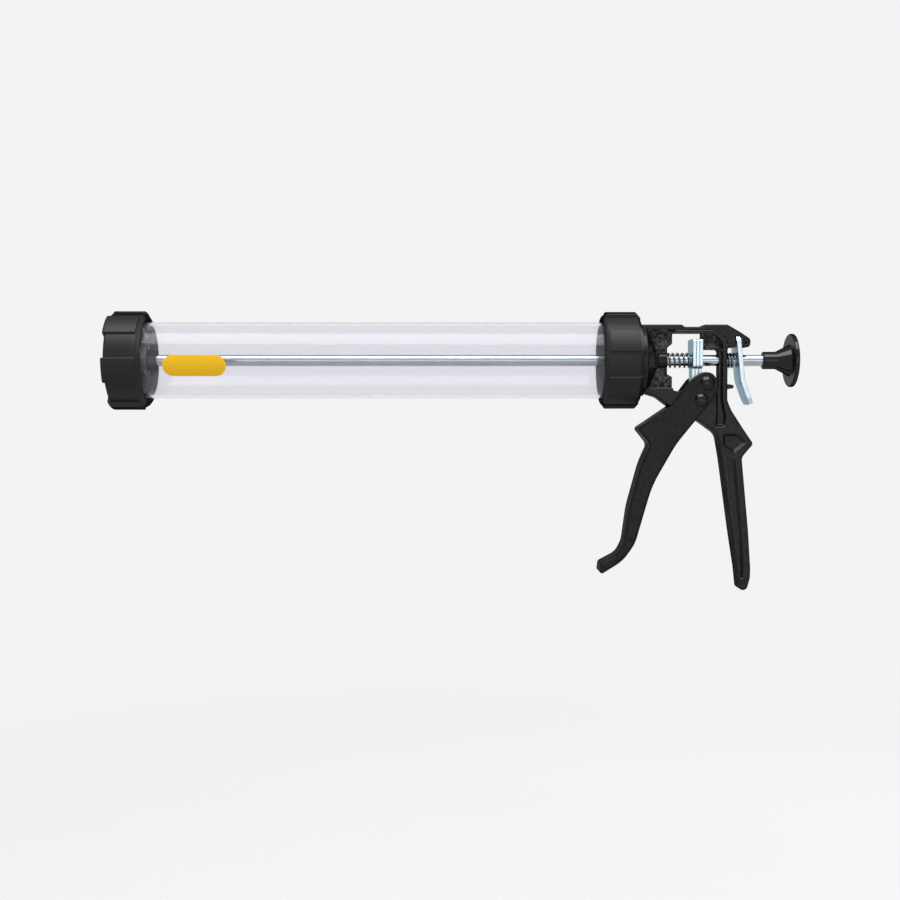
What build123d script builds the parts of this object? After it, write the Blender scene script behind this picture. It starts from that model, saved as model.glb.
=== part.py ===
from build123d import *
from math import atan2, cos, degrees, hypot, pi, radians, sin, sqrt, tan
import os

# Bulk caulking gun with a clear barrel. Millimetres, +X from the front cap to the pull knob,
# +Z up, origin at the centre of the nozzle bore on the front face of the cap.

# Clear barrel tube
tube_od = 54.0
tube_wall = 2.0
tube_length = 359.0
thread_clearance = 0.3

# Front cap and its gasket
cap_length = 25.7
cap_front_wall = 5.0
cap_skirt = 6.3
cap_shoulder = 5.4
mouth_depth = 2.6
mouth_flare = 1.4
nozzle_bore_d = 24.0
nose_ring_width = 4.0
gasket_thickness = 2.0

# Grip pads on the cap and on the collar
pad_count = 6
pad_angle = 30.0
pad_height = 1.4
pad_round = 0.8
pad_root = 0.15
pad_setback = 2.6
ring_edge_round = 1.5
cap_pad_turn = 46.0
collar_pad_turn = 23.0

# Rear collar, which draws the frame's flange against the barrel
collar_length = 26.6
collar_skirt = 5.5
collar_lip = 2.4
collar_front_round = 3.7
collar_bevel_length = 2.8
collar_bevel_drop = 3.2
collar_clearance = 0.3

# Label on the barrel
label_length = 43.8
label_height = 14.5
label_front = 40.8
label_centre_z = -4.5
label_thickness = 0.25
film_clearance = 0.02

# Push rod, piston and knob
rod_d = 8.0
rod_tail = 37.5
guide_clearance = 0.05
fit_clearance = 0.02
piston_front = 8.0
piston_length = 12.4
piston_gap = 0.4
piston_face = 6.2
piston_skirt = 2.6
piston_edge_round = 1.5
hub_d = 12.8
hub_length = 10.2
rib_count = 6
rib_thickness = 1.6
rib_setback = 1.5
seal_width = 3.6
seal_depth = 1.7
seal_clearance = 0.1
seal_setback = 2.2
screw_d = 5.0
screw_length = 12.0
screw_head_d = 9.5
screw_head_height = 2.6
washer_d = 11.5
washer_thickness = 1.0
nut_flats = 13.0
nut_thickness = 6.5
nut_bevel = 0.6
knob_hub_d = 12.3
knob_hub_length = 9.3
knob_cone_length = 9.6
knob_cone_d = 22.4
knob_disc_d = 37.7
knob_disc_thickness = 3.2
knob_socket = 11.6
knob_round = 1.0
knob_neck_round = 2.5

# Frame casting: flange, bell and boss on the barrel axis
frame_width = 16.0
frame_web = 6.0
frame_edge_round = 1.2
flange_thickness = 3.4
collar_rear_gap = 2.1
neck_length = 5.8
bell_length = 11.1
bell_shoulder_length = 5.2
bell_shoulder_drop = 5.7
boss_length = 7.0
boss_d = 12.4
side_pocket_length = 7.5
side_pocket_height = 10.4
side_pocket_wall = 1.2

# Frame casting: top bar, window and post
frame_top = 25.0
top_bar_dip = 1.6
window_top = 19.2
window_length = 36.5
web_step = 3.5
block_height = 11.8
post_thickness = 5.4
post_core = 11.0
rim_width = 2.9
rim_bend = 12.6
groove_width = 1.2
groove_depth = 1.6
web_mark_d = 5.0
web_mark_height = 0.7

# Frame casting: lever bracket behind the post
bracket_reach = 16.2
bracket_slope = 5.8
bracket_bridge = 2.0
bracket_low = 9.0
notch_setback = 4.6
notch_width = 5.0
tip_hole_d = 2.2
bumper_reach = 5.3
bumper_height = 4.4
bumper_tip = 2.4
bumper_z = -18.6

# Frame casting: lower bar and pistol grip
lower_bar_depth = 15.5
horn_reach = 18.6
grip_top = -72.0
grip_length = 90.9
grip_setback = 3.7
grip_sweep_middle = 7.0
grip_sweep_toe = 11.3
grip_depth_top = 14.5
grip_depth_middle = 12.0
grip_depth_toe = 9.5
grip_back_rim = 4.3
grip_front_rim = 1.9
grip_panel_depth = 2.0
grip_bank_lean = 50.0
horn_panel_depth = 2.0
horn_panel_lean = 45.0
post_panel_lean = 38.0

# Drive plates and the two springs
plate_count = 3
plate_thickness = 2.2
plate_gap = 0.15
plate_width = 20.0
plate_top = 14.8
plate_shoulder = -5.3
plate_tail_width = 11.0
plate_tail = -18.0
plate_corner = 2.0
plate_hole_clearance = 0.2
contact_gap = 0.05
drive_spring_length = 17.1
drive_spring_turns = 5.0
release_spring_turns = 2.5
spring_wire = 1.4
spring_clearance = 0.15
end_turn_pitch = 2.0

# Trigger, its pivot rivet and its drive rivet
pivot_z = -28.1
pivot_pin_d = 6.0
pivot_head_d = 9.6
drive_arm_x = 4.0
drive_arm_z = 11.9
drive_pin_d = 4.0
drive_head_d = 10.0
rivet_head_height = 2.4
sleeve_d = 6.2
cheek_thickness = 3.0
cheek_clearance = 0.3
cheek_step = 0.6
trigger_wall = 3.2
trigger_edge_round = 1.4
trigger_shoulder = 31.1
trigger_grip_length = 91.8
trigger_roof_share = 0.9

# Release lever
lever_thickness = 3.0
lever_width = 20.0
lever_top_gap = 0.3
lever_rear_gap = 2.6
lever_straight = 31.4
lever_lean = 3.3
lever_tab_reach = 6.0
lever_tab_drop = 16.4
lever_bend = 20.0
lever_corner = 7.0
lever_hole_clearance = 0.75

# Radii and places worked out from the sizes above
tube_r = tube_od / 2
bore_r = tube_r - tube_wall
rod_r = rod_d / 2
thread_r = tube_r + thread_clearance
mouth_r = thread_r + mouth_flare
cap_r = thread_r + cap_skirt
collar_r = thread_r + collar_skirt
flange_r = tube_r - collar_clearance / 2
neck_r = bore_r + collar_clearance / 2
boss_r = boss_d / 2
frame_half = frame_width / 2
web_half = frame_web / 2
cheek_inner = frame_half + cheek_clearance
cheek_outer = cheek_inner + cheek_thickness
spring_r = rod_r + spring_clearance + spring_wire
tube_front = cap_front_wall + gasket_thickness
tube_rear = tube_front + tube_length
flange_rear = tube_rear + flange_thickness
collar_rear = flange_rear + collar_clearance + collar_lip
collar_front = collar_rear - collar_length
frame_front = collar_rear + collar_rear_gap
neck_rear = flange_rear + neck_length
boss_front = frame_front + bell_length
boss_rear = boss_front + boss_length
plates_front = boss_rear + drive_spring_length
plates_rear = plates_front + plate_count * plate_thickness + (plate_count - 1) * plate_gap
drive_pin_x = plates_rear + contact_gap + sleeve_d / 2
drive_pin_z = pivot_z + drive_arm_z
pivot_x = drive_pin_x - drive_arm_x
post_front = boss_rear + window_length
post_rear = post_front + post_thickness
window_bottom = pivot_z + pivot_pin_d - 0.3
tip_x = post_rear + bracket_reach
notch_front = post_rear + notch_setback
notch_rear = notch_front + notch_width
notch_top = frame_top - bracket_slope - bracket_bridge
lever_top_x = notch_rear - lever_rear_gap
lever_top_z = notch_top - lever_top_gap
piston_rear = piston_front + piston_length
rod_front = piston_front + piston_face
rod_rear = post_rear + rod_tail
hub_rear = rod_front + hub_length
knob_front = rod_rear + fit_clearance - knob_socket
grip_toe = grip_top - grip_length


def outline(*corners):
    """A closed outline from corners of two coordinates and, for a round corner, its radius.

    A radius is limited by the two sides that meet at its corner."""
    points = [Vector(*corner[:2]) for corner in corners]
    radii = [corner[2] if len(corner) > 2 else 0 for corner in corners]
    count = len(corners)
    starts, arcs, ends = [], [], []
    for index, (here, radius) in enumerate(zip(points, radii)):
        after = (index + 1) % count
        back, ahead = points[index - 1] - here, points[after] - here
        half_turn = radians(back.get_angle(ahead)) / 2
        back_share = 0.49 if radii[index - 1] else 0.98
        ahead_share = 0.49 if radii[after] else 0.98
        room = min(back.length * back_share, ahead.length * ahead_share)
        reach = min(radius / tan(half_turn), room)
        back, ahead = back.normalized(), ahead.normalized()
        starts.append(here + back * reach)
        ends.append(here + ahead * reach)
        if reach > 0:
            apex = reach / cos(half_turn) - reach * tan(half_turn)
            arcs.append(ThreePointArc(starts[-1], here + (back + ahead).normalized() * apex, ends[-1]))
    sides = [Line(ends[index - 1], starts[index]) for index in range(count)]
    return make_face(sides + arcs)


def turned(*corners):
    """Turns an outline of distance along the barrel and radius about the barrel axis."""
    return revolve(Plane.XZ * outline(*corners), axis=Axis.X)


def ring(front, rear, inner, outer):
    """A plain ring on the barrel axis."""
    return turned((front, inner), (rear, inner), (rear, outer), (front, outer))


def bar(front, rear, radius):
    """A plain round bar on the barrel axis."""
    return turned((front, 0), (rear, 0), (rear, radius), (front, radius))


def slab(face, half_width):
    """A side outline given thickness on both sides of the centre plane."""
    return extrude(Plane.XZ * face, half_width, both=True)


def sunk(face, floor, surface, lean=0.0):
    """Two blocks that sink an outline into both sides of a slab, from its surface down to a floor.

    The walls lean outwards from the floor by an angle."""
    block = extrude(Plane.XZ * face, surface - floor, taper=-lean).moved(Pos(0, -floor, 0))
    return [block, mirror(block, about=Plane.XZ)]


def cross_bar(x, z, radius, half_length):
    """A round bar across the gun."""
    return Pos(x, 0, z) * Rot(90, 0, 0) * Cylinder(radius, 2 * half_length)


def rounded_rim(solid, half_width, radius):
    """Rounds the edges round both sides of a slab."""
    rims = [edge for edge in solid.edges() if abs(abs((edge @ 0.5).Y) - half_width) < 1e-6]
    return fillet(rims, radius)


def inset(points, distance):
    """Moves an open line of points sideways, to the right of its direction, by a wall's thickness."""
    lines = []
    for (x0, z0), (x1, z1) in zip(points, points[1:]):
        share = distance / hypot(x1 - x0, z1 - z0)
        dx, dz = (z1 - z0) * share, (x0 - x1) * share
        lines.append((x0 + dx, z0 + dz, x1 + dx, z1 + dz))
    moved = [lines[0][:2]]
    for (ax, az, bx, bz), (cx, cz, dx, dz) in zip(lines, lines[1:]):
        ux, uz, vx, vz = bx - ax, bz - az, dx - cx, dz - cz
        share = ((cx - ax) * vz - (cz - az) * vx) / (ux * vz - uz * vx)
        moved.append((ax + share * ux, az + share * uz))
    return moved + [lines[-1][2:]]


def between(start, end, share):
    """The point at a share of the way between two corners."""
    return (start[0] + (end[0] - start[0]) * share, start[1] + (end[1] - start[1]) * share)


def pads(first_turn, *crest):
    """The raised grip pads round a ring, from the corners of their crest, each with softened sides."""
    root = mouth_r + pad_root
    half = pad_angle / 2
    section = outline((crest[0][0], root), *crest, (crest[-1][0], root))
    pad = revolve(Plane.XZ * section, axis=Axis.X, revolution_arc=pad_angle).rotate(Axis.X, -half)

    def on_side(edge):
        middle = edge @ 0.5
        turn = abs(degrees(atan2(middle.Y, middle.Z)))
        return abs(turn - half) < 1e-3 and hypot(middle.Y, middle.Z) > root + 1e-3

    pad = fillet([edge for edge in pad.edges() if on_side(edge)], pad_round)
    step = 360 / pad_count
    return [pad.rotate(Axis.X, 90 - first_turn + step * index) for index in range(pad_count)]


def front_cap():
    """Moulded screw cap: front wall with the nozzle bore, threaded skirt and six grip pads."""
    bore = nozzle_bore_d / 2
    nose = bore + nose_ring_width
    body = turned(
        (0, bore),
        (0, nose),
        (pad_height, nose),
        (pad_height, cap_r, ring_edge_round),
        (cap_length, cap_r, cap_shoulder),
        (cap_length, mouth_r),
        (cap_length - mouth_depth, thread_r),
        (cap_front_wall, thread_r),
        (cap_front_wall, bore),
    )
    pad_r = cap_r + pad_height
    pad_rear = cap_length - pad_setback
    return body + pads(cap_pad_turn, (0, pad_r, ring_edge_round), (pad_rear, pad_r, pad_round))


def cap_gasket():
    """Flat rubber ring between the cap's wall and the end of the tube."""
    return ring(cap_front_wall, tube_front, bore_r + thread_clearance, tube_r - thread_clearance)


def barrel_tube():
    """Clear extruded tube."""
    return ring(tube_front, tube_rear, bore_r, tube_r)


def barrel_label():
    """Film label with round ends, wrapped on the side of the tube."""
    inner = tube_r + film_clearance
    sleeve = ring(label_front, label_front + label_length, inner, inner + label_thickness)
    pill = Pos(label_front + label_length / 2, label_centre_z) * SlotOverall(label_length, label_height)
    return sleeve & extrude(Plane.XZ * pill, tube_od)


def rear_collar():
    """Moulded ring screwed on the tube, with a lip that holds the frame's flange."""
    lip_r = neck_r + collar_clearance
    lip_front = collar_rear - collar_lip
    bevel_front = collar_rear - collar_bevel_length
    body = turned(
        (collar_front, mouth_r),
        (collar_front, collar_r, collar_front_round),
        (bevel_front, collar_r, pad_round),
        (collar_rear, collar_r - collar_bevel_drop, pad_round),
        (collar_rear, lip_r),
        (lip_front, lip_r),
        (lip_front, thread_r),
        (collar_front + mouth_depth, thread_r),
    )
    pad_r = collar_r + pad_height
    return body + pads(
        collar_pad_turn,
        (collar_front + pad_setback, pad_r, pad_round),
        (bevel_front, pad_r, pad_round),
        (collar_rear, pad_r - collar_bevel_drop, pad_round),
    )


def push_rod():
    """Zinc-plated rod, drilled at the front for the piston screw."""
    return bar(rod_front, rod_rear, rod_r) - bar(
        rod_front, rod_front + screw_length, screw_d / 2 + fit_clearance
    )


def piston():
    """Moulded cup piston with a seal groove, a rear hub and a sunk seat for the screw."""
    outer = bore_r - piston_gap
    hub_r = hub_d / 2
    body = turned(
        (piston_front, 0),
        (piston_front, outer, piston_edge_round),
        (piston_rear, outer),
        (piston_rear, outer - piston_skirt),
        (rod_front, outer - piston_skirt, piston_edge_round),
        (rod_front, hub_r, piston_edge_round),
        (hub_rear, hub_r),
        (hub_rear, 0),
    )
    rib_length = piston_rear - rib_setback - rod_front
    rib_reach = outer - piston_skirt / 2
    rib = Pos(rod_front + rib_length / 2, 0, rib_reach / 2) * Box(rib_length, rib_thickness, rib_reach)
    body += [rib.rotate(Axis.X, 360 / rib_count * index) for index in range(rib_count)]
    groove_front = piston_front + seal_setback - fit_clearance
    groove_rear = groove_front + seal_width + 2 * fit_clearance
    seat = screw_head_height + washer_thickness
    return body - [
        ring(groove_front, groove_rear, outer - seal_depth, tube_r),
        bar(rod_front, hub_rear, rod_r + fit_clearance),
        bar(piston_front, rod_front, screw_d / 2 + fit_clearance),
        bar(piston_front, piston_front + seat, washer_d / 2 + fit_clearance),
    ]


def piston_seal():
    """Rubber ring in the piston's groove, with a rounded wiping edge."""
    front = piston_front + seal_setback
    rear = front + seal_width
    inner = bore_r - piston_gap - seal_depth + fit_clearance
    outer = bore_r - seal_clearance
    soft = (outer - inner) / 3
    return turned((front, inner), (rear, inner), (rear, outer, soft), (front, outer, soft))


def piston_washer():
    """Steel washer under the screw head."""
    front = piston_front + screw_head_height
    return ring(front, front + washer_thickness, screw_d / 2 + fit_clearance, washer_d / 2)


def piston_screw():
    """Slotted pan screw that holds the piston on the rod."""
    head_rear = piston_front + screw_head_height
    shank_rear = rod_front + screw_length - fit_clearance
    shank_r = screw_d / 2
    screw = turned(
        (piston_front, 0),
        (piston_front, screw_head_d / 2, screw_head_height / 2),
        (head_rear, screw_head_d / 2),
        (head_rear, shank_r),
        (shank_rear, shank_r),
        (shank_rear, 0),
    )
    return screw - Pos(piston_front, 0, 0) * Box(screw_head_height, screw_head_d, screw_head_height / 2)


def piston_nut():
    """Hexagon nut that locks the piston's hub on the rod."""
    rear = hub_rear + nut_thickness
    corner_r = nut_flats / sqrt(3)
    hexagon = Rot(0, 0, 90) * RegularPolygon(nut_flats / 2, 6, major_radius=False)
    blank = extrude(Plane.YZ.offset(hub_rear) * hexagon, nut_thickness)
    turned_blank = turned(
        (hub_rear, rod_r + fit_clearance),
        (hub_rear, corner_r - nut_bevel),
        (hub_rear + nut_bevel, corner_r),
        (rear - nut_bevel, corner_r),
        (rear, corner_r - nut_bevel),
        (rear, rod_r + fit_clearance),
    )
    return blank & turned_blank


def pull_knob():
    """Moulded knob: round hub, flaring neck and a thin pull disc."""
    socket_r = rod_r + fit_clearance
    socket_rear = knob_front + knob_socket
    hub_end = knob_front + knob_hub_length
    disc_front = hub_end + knob_cone_length
    disc_rear = disc_front + knob_disc_thickness
    return turned(
        (socket_rear, 0),
        (socket_rear, socket_r),
        (knob_front, socket_r),
        (knob_front, knob_hub_d / 2, knob_round),
        (hub_end, knob_hub_d / 2, knob_neck_round),
        (disc_front, knob_cone_d / 2, knob_round),
        (disc_front, knob_disc_d / 2, knob_round),
        (disc_rear, knob_disc_d / 2, knob_round),
        (disc_rear, 0),
    )


def grip_edges():
    """Front and rear edges of the grip at its top, middle and toe."""
    top_x = post_rear - grip_setback
    middle_z, toe_z = grip_top - 0.53 * grip_length, grip_top - 0.83 * grip_length
    front = [(top_x, grip_top), (top_x + grip_sweep_middle, middle_z), (top_x + grip_sweep_toe, toe_z)]
    depths = [grip_depth_top, grip_depth_middle, grip_depth_toe]
    rear = [(x + depth, z) for (x, z), depth in zip(front, depths)]
    return front, rear


def frame_outline():
    """Side view of the casting, from the flange over the top bar and bracket and down the grip."""
    front, rear = grip_edges()
    dip_front, dip_rear = boss_rear + 9.8, plates_rear + 1.3
    dip_z = frame_top - top_bar_dip
    slope_z = frame_top - bracket_slope
    return outline(
        (frame_front, frame_top),
        (dip_front, frame_top, 2.0),
        (dip_front + top_bar_dip, dip_z, 2.0),
        (dip_rear - top_bar_dip, dip_z, 2.0),
        (dip_rear, frame_top, 2.0),
        (post_rear - 0.3, frame_top, 2.0),
        (post_rear + 0.6 * bracket_reach, slope_z, 6.0),
        (tip_x, slope_z - 4.4, 3.0),
        (tip_x - 0.6, bracket_low, 2.4),
        (post_rear, bracket_low, 2.0),
        (post_rear, grip_top + 43.5, 8.0),
        (post_rear + 3.0, grip_top + 36.5, 14.0),
        (post_rear + horn_reach - 7.0, grip_top + 23.2, 14.0),
        (post_rear + horn_reach, grip_top + 13.0, 2.4),
        (rear[0][0] - 0.4, grip_top + 3.4, 6.0),
        (*rear[1], 80.0),
        (*rear[2], 20.0),
        (rear[2][0] - 0.2, grip_toe + 9.0, 10.0),
        (rear[2][0] - 2.6, grip_toe + 0.2, 4.0),
        (front[2][0] + 1.6, grip_toe + 0.4, 3.0),
        (*front[2], 20.0),
        (*front[1], 80.0),
        (front[0][0], grip_top + 2.0, 30.0),
        (post_rear - 6.8, grip_top + 19.6, 8.0),
        (pivot_x, pivot_z - lower_bar_depth, 20.0),
        (boss_rear + 0.2, pivot_z - 3.9, 10.0),
        (boss_front - 0.6, pivot_z + 1.9, 8.0),
        (frame_front, pivot_z + 5.1),
    )


def window_outline():
    """The opening in the frame where the plates and the spring work."""
    block_face = plates_rear + contact_gap
    block_low = window_top - block_height
    return outline(
        (boss_rear + web_step, window_top, 1.0),
        (block_face, window_top),
        (block_face, block_low, 1.0),
        (post_front, block_low, 1.0),
        (post_front, window_bottom + 3.0, 2.0),
        (post_front - 3.0, window_bottom, 2.0),
        (boss_rear + 10.0, window_bottom, 2.0),
        (boss_rear + web_step, window_bottom + 1.0, 1.5),
        (boss_rear + web_step, -boss_r - 5.5, 1.0),
        (boss_rear, -boss_r - 3.6, 1.0),
        (boss_rear, boss_r + 2.6, 1.0),
        (boss_rear + web_step, boss_r + 5.5, 1.0),
    )


def notch_outline():
    """The notch under the bracket where the release lever hangs."""
    low = bracket_low - frame_width
    return outline((notch_front, low), (notch_rear, low), (notch_rear, notch_top), (notch_front, notch_top))


def sunk_panels():
    """Blocks that sink panels and grooves into both sides of the casting, down to their floors."""
    front, rear = grip_edges()
    rim = post_rear - rim_width
    strip = post_front - contact_gap
    block_low = window_top - block_height
    web_front = plates_rear - contact_gap
    groove_top = frame_top - rim_width
    groove_low = groove_top - groove_width
    groove_start = boss_rear + web_step - groove_width
    block_panel = outline(
        (web_front, window_top),
        (rim, window_top, rim_bend),
        (rim, block_low),
        (web_front, block_low),
    )
    bank = (frame_half - post_core / 2) * tan(radians(post_panel_lean))
    floor_rear = rim - bank
    post_panel = outline(
        (floor_rear, block_low - bank),
        (floor_rear, grip_top + 44.0),
        (floor_rear + 2.4, grip_top + 32.0),
        (floor_rear + 1.4, grip_top + 26.8),
        (strip - 1.2, grip_top + 26.4),
        (strip - 0.8, grip_top + 33.0),
        (strip - 1.2, window_bottom),
        (strip - 1.2, block_low - bank),
    )
    web_panel = outline(
        (neck_rear - groove_width, groove_top),
        (boss_rear + web_step + groove_width, groove_top),
        (boss_rear + web_step + groove_width, window_bottom + 2.8),
        (neck_rear - groove_width, window_bottom + 2.8),
    )
    rim_groove = outline(
        (groove_start, groove_top),
        (post_rear + groove_width, groove_top, rim_bend + rim_width),
        (post_rear + groove_width, block_low),
        (post_rear, block_low),
        (post_rear, groove_low, rim_bend + rim_width - groove_width),
        (groove_start, groove_low),
    )
    horn_panel = outline(
        (post_rear - 1.4, grip_top + 18.4),
        (post_rear + 6.8, grip_top + 18.4),
        (post_rear + horn_reach - 7.8, grip_top + 13.8),
        (post_rear + 5.2, grip_top + 9.0),
        (post_rear - 1.0, grip_top + 12.2),
    )
    ridge_groove = outline(
        (post_rear - 3.0, grip_top + 9.4),
        (post_rear + 5.4, grip_top + 4.9),
        (post_rear + 5.1, grip_top + 4.0),
        (post_rear - 2.9, grip_top + 8.3),
    )
    grip_panel = outline(
        (front[0][0] + grip_front_rim, grip_top + 6.0, 1.0),
        (rear[0][0] - grip_back_rim, grip_top + 1.4, 1.5),
        (rear[1][0] - grip_back_rim, rear[1][1], 80.0),
        (rear[2][0] - grip_back_rim, rear[2][1], 20.0),
        (rear[2][0] - grip_back_rim - 1.4, grip_toe + 6.4, 1.5),
        (front[2][0] + grip_front_rim, front[2][1] - 4.0, 3.0),
        (front[1][0] + grip_front_rim, front[1][1], 80.0),
    )
    wall = grip_panel_depth * tan(radians(grip_bank_lean))
    foot = [(x - grip_back_rim - wall, z) for x, z in rear]
    grip_bank = outline(
        (foot[0][0], grip_top + horn_reach),
        *foot,
        (foot[2][0] - wall, grip_toe),
        (foot[0][0] - frame_width, grip_toe),
        (foot[0][0] - frame_width, grip_top + horn_reach),
    )
    grip_floor = frame_half - grip_panel_depth
    flat = sunk(grip_panel, grip_floor, frame_width)
    leaning = sunk(grip_bank, grip_floor, frame_width, grip_bank_lean)
    return [
        *sunk(block_panel, web_half, frame_width),
        *sunk(post_panel, post_core / 2, frame_half + contact_gap, post_panel_lean),
        *sunk(web_panel, web_half, frame_width),
        *sunk(rim_groove, frame_half - groove_depth, frame_width),
        *sunk(horn_panel, frame_half - horn_panel_depth, frame_half + contact_gap, horn_panel_lean),
        *sunk(ridge_groove, frame_half - groove_depth, frame_width),
        *[panel & bank for panel, bank in zip(flat, leaning)],
    ]


def bell():
    """Flange, neck, bell and spring boss on the barrel axis, with a pocket in each side beside the rod."""
    body = turned(
        (tube_rear, 0),
        (tube_rear, flange_r),
        (flange_rear, flange_r),
        (flange_rear, neck_r),
        (neck_rear, neck_r),
        (frame_front + bell_shoulder_length, neck_r - bell_shoulder_drop, 3.0),
        (boss_front, boss_r, 2.0),
        (boss_rear, boss_r),
        (boss_rear, 0),
    )
    floor = rod_r + side_pocket_wall
    depth = tube_r - floor
    pocket = Box(side_pocket_length, depth, side_pocket_height)
    pocket_x = (neck_rear + boss_front) / 2
    return body - [Pos(pocket_x, side * (floor + depth / 2), 0) * pocket for side in (-1, 1)]


def handle_frame():
    """Die-cast frame: bell on the barrel axis, open mechanism window, lever bracket and pistol grip."""
    casting = rounded_rim(slab(frame_outline(), frame_half), frame_half, frame_edge_round)
    casting -= slab(window_outline(), frame_width)
    casting -= slab(notch_outline(), frame_width)
    casting -= sunk_panels()
    mark_half = web_half + web_mark_height
    marks = [(boss_rear - 4.6, 12.0), (boss_rear - 4.6, -14.0), (plates_rear + 7.4, 11.6)]
    details = [cross_bar(x, z, web_mark_d / 2, mark_half) for x, z in marks]
    details.append(cross_bar(post_rear - 0.7, grip_top + 26.0, 2.1, frame_half - frame_edge_round))
    bumper_x = post_rear + bumper_reach
    nub = outline(
        (post_rear - rim_width / 2, bumper_z - bumper_height / 2),
        (post_rear - rim_width / 2, bumper_z + bumper_height / 2),
        (bumper_x, bumper_z + bumper_tip / 2, bumper_tip / 2),
        (bumper_x, bumper_z - bumper_tip / 2, bumper_tip / 2),
    )
    details.append(slab(nub, web_half))
    casting = casting + bell() + details
    return casting - [
        bar(tube_front, rod_rear, rod_r + guide_clearance),
        cross_bar(pivot_x, pivot_z, pivot_pin_d / 2 + guide_clearance, frame_width),
        cross_bar(tip_x - 3.7, bracket_low + 3.2, tip_hole_d / 2, frame_width),
    ]


def drive_plate(index):
    """One pressed steel drive plate: wide head with the rod hole, narrow tail for the drive sleeve."""
    front = plates_front + index * (plate_thickness + plate_gap)
    half, tail = plate_width / 2, plate_tail_width / 2
    shape = outline(
        (-half, plate_top, plate_corner),
        (half, plate_top, plate_corner),
        (half, plate_shoulder, plate_corner),
        (tail, plate_shoulder, plate_corner / 2),
        (tail, plate_tail, plate_corner / 2),
        (-tail, plate_tail, plate_corner / 2),
        (-tail, plate_shoulder, plate_corner / 2),
        (-half, plate_shoulder, plate_corner),
    )
    shape -= Circle(rod_r + plate_hole_clearance)
    return extrude(Plane.YZ.offset(front) * shape, plate_thickness)


def coil(front, rear, turns):
    """Compression spring round the rod, wound as one wire along quarter-turn biarcs."""
    mean_r = spring_r - spring_wire / 2
    start = front + spring_wire / 2 + contact_gap
    end = rear - spring_wire / 2 - contact_gap
    end_turns = 0.5
    end_rise = end_turns * end_turn_pitch
    open_pitch = (end - start - 2 * end_rise) / (turns - 2 * end_turns)

    def height(turn):
        if turn < end_turns:
            return start + turn * end_turn_pitch
        if turn > turns - end_turns:
            return end - (turns - turn) * end_turn_pitch
        return start + end_rise + (turn - end_turns) * open_pitch

    def place(turn):
        return Vector(height(turn), mean_r * cos(2 * pi * turn), mean_r * sin(2 * pi * turn))

    def heading(turn):
        ahead, behind = min(turn + 0.1, turns), max(turn - 0.1, 0)
        rise = (height(ahead) - height(behind)) / (ahead - behind)
        around = 2 * pi * mean_r
        return Vector(rise, -around * sin(2 * pi * turn), around * cos(2 * pi * turn)).normalized()

    arcs = []
    for quarter in range(round(turns * 4)):
        p0, p1 = place(quarter / 4), place((quarter + 1) / 4)
        t0, t1 = heading(quarter / 4), heading((quarter + 1) / 4)
        chord = p1 - p0
        along = chord.dot(t0 + t1)
        bend = 2 * (1 - t0.dot(t1))
        reach = (sqrt(along**2 + bend * chord.dot(chord)) - along) / bend
        a, b = p0 + t0 * reach, p1 - t1 * reach
        middle = (a + b) / 2
        arcs.append(TangentArc(p0, middle, tangent=t0))
        arcs.append(TangentArc(middle, p1, tangent=b - a))
    steps = 48
    points = [place(step / steps) for step in range(round(turns * steps) + 1)]
    spans = [
        (points[i] - points[j]).length
        for i in range(len(points))
        for j in range(i + steps // 2, len(points))
    ]
    print("spring's least gap to itself", round(min(spans) - spring_wire, 3), "mm")
    section = Plane(origin=place(0), z_dir=heading(0)) * Circle(spring_wire / 2)
    return sweep(section, path=Wire(arcs))


def rivet(x, z, shank_d, head_d):
    """Domed rivet through both trigger cheeks."""
    dome_r = (head_d**2 / 4 + rivet_head_height**2) / (2 * rivet_head_height)
    half_box = Pos(0, 0, dome_r) * Box(2 * dome_r, 2 * dome_r, 2 * dome_r)
    dome = Pos(0, 0, rivet_head_height - dome_r) * Sphere(dome_r) & half_box
    seat = cheek_outer - cheek_step
    shank = cross_bar(x, z, shank_d / 2, seat)
    near = Pos(x, -seat, z) * Rot(90, 0, 0) * dome
    far = Pos(x, seat, z) * Rot(-90, 0, 0) * dome
    return shank + near + far


def drive_sleeve():
    """Steel sleeve on the drive pin, which pushes the plates' tails."""
    half_length = cheek_inner - contact_gap
    sleeve = cross_bar(drive_pin_x, drive_pin_z, sleeve_d / 2, half_length)
    return sleeve - cross_bar(drive_pin_x, drive_pin_z, drive_pin_d / 2 + fit_clearance, cheek_outer)


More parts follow.
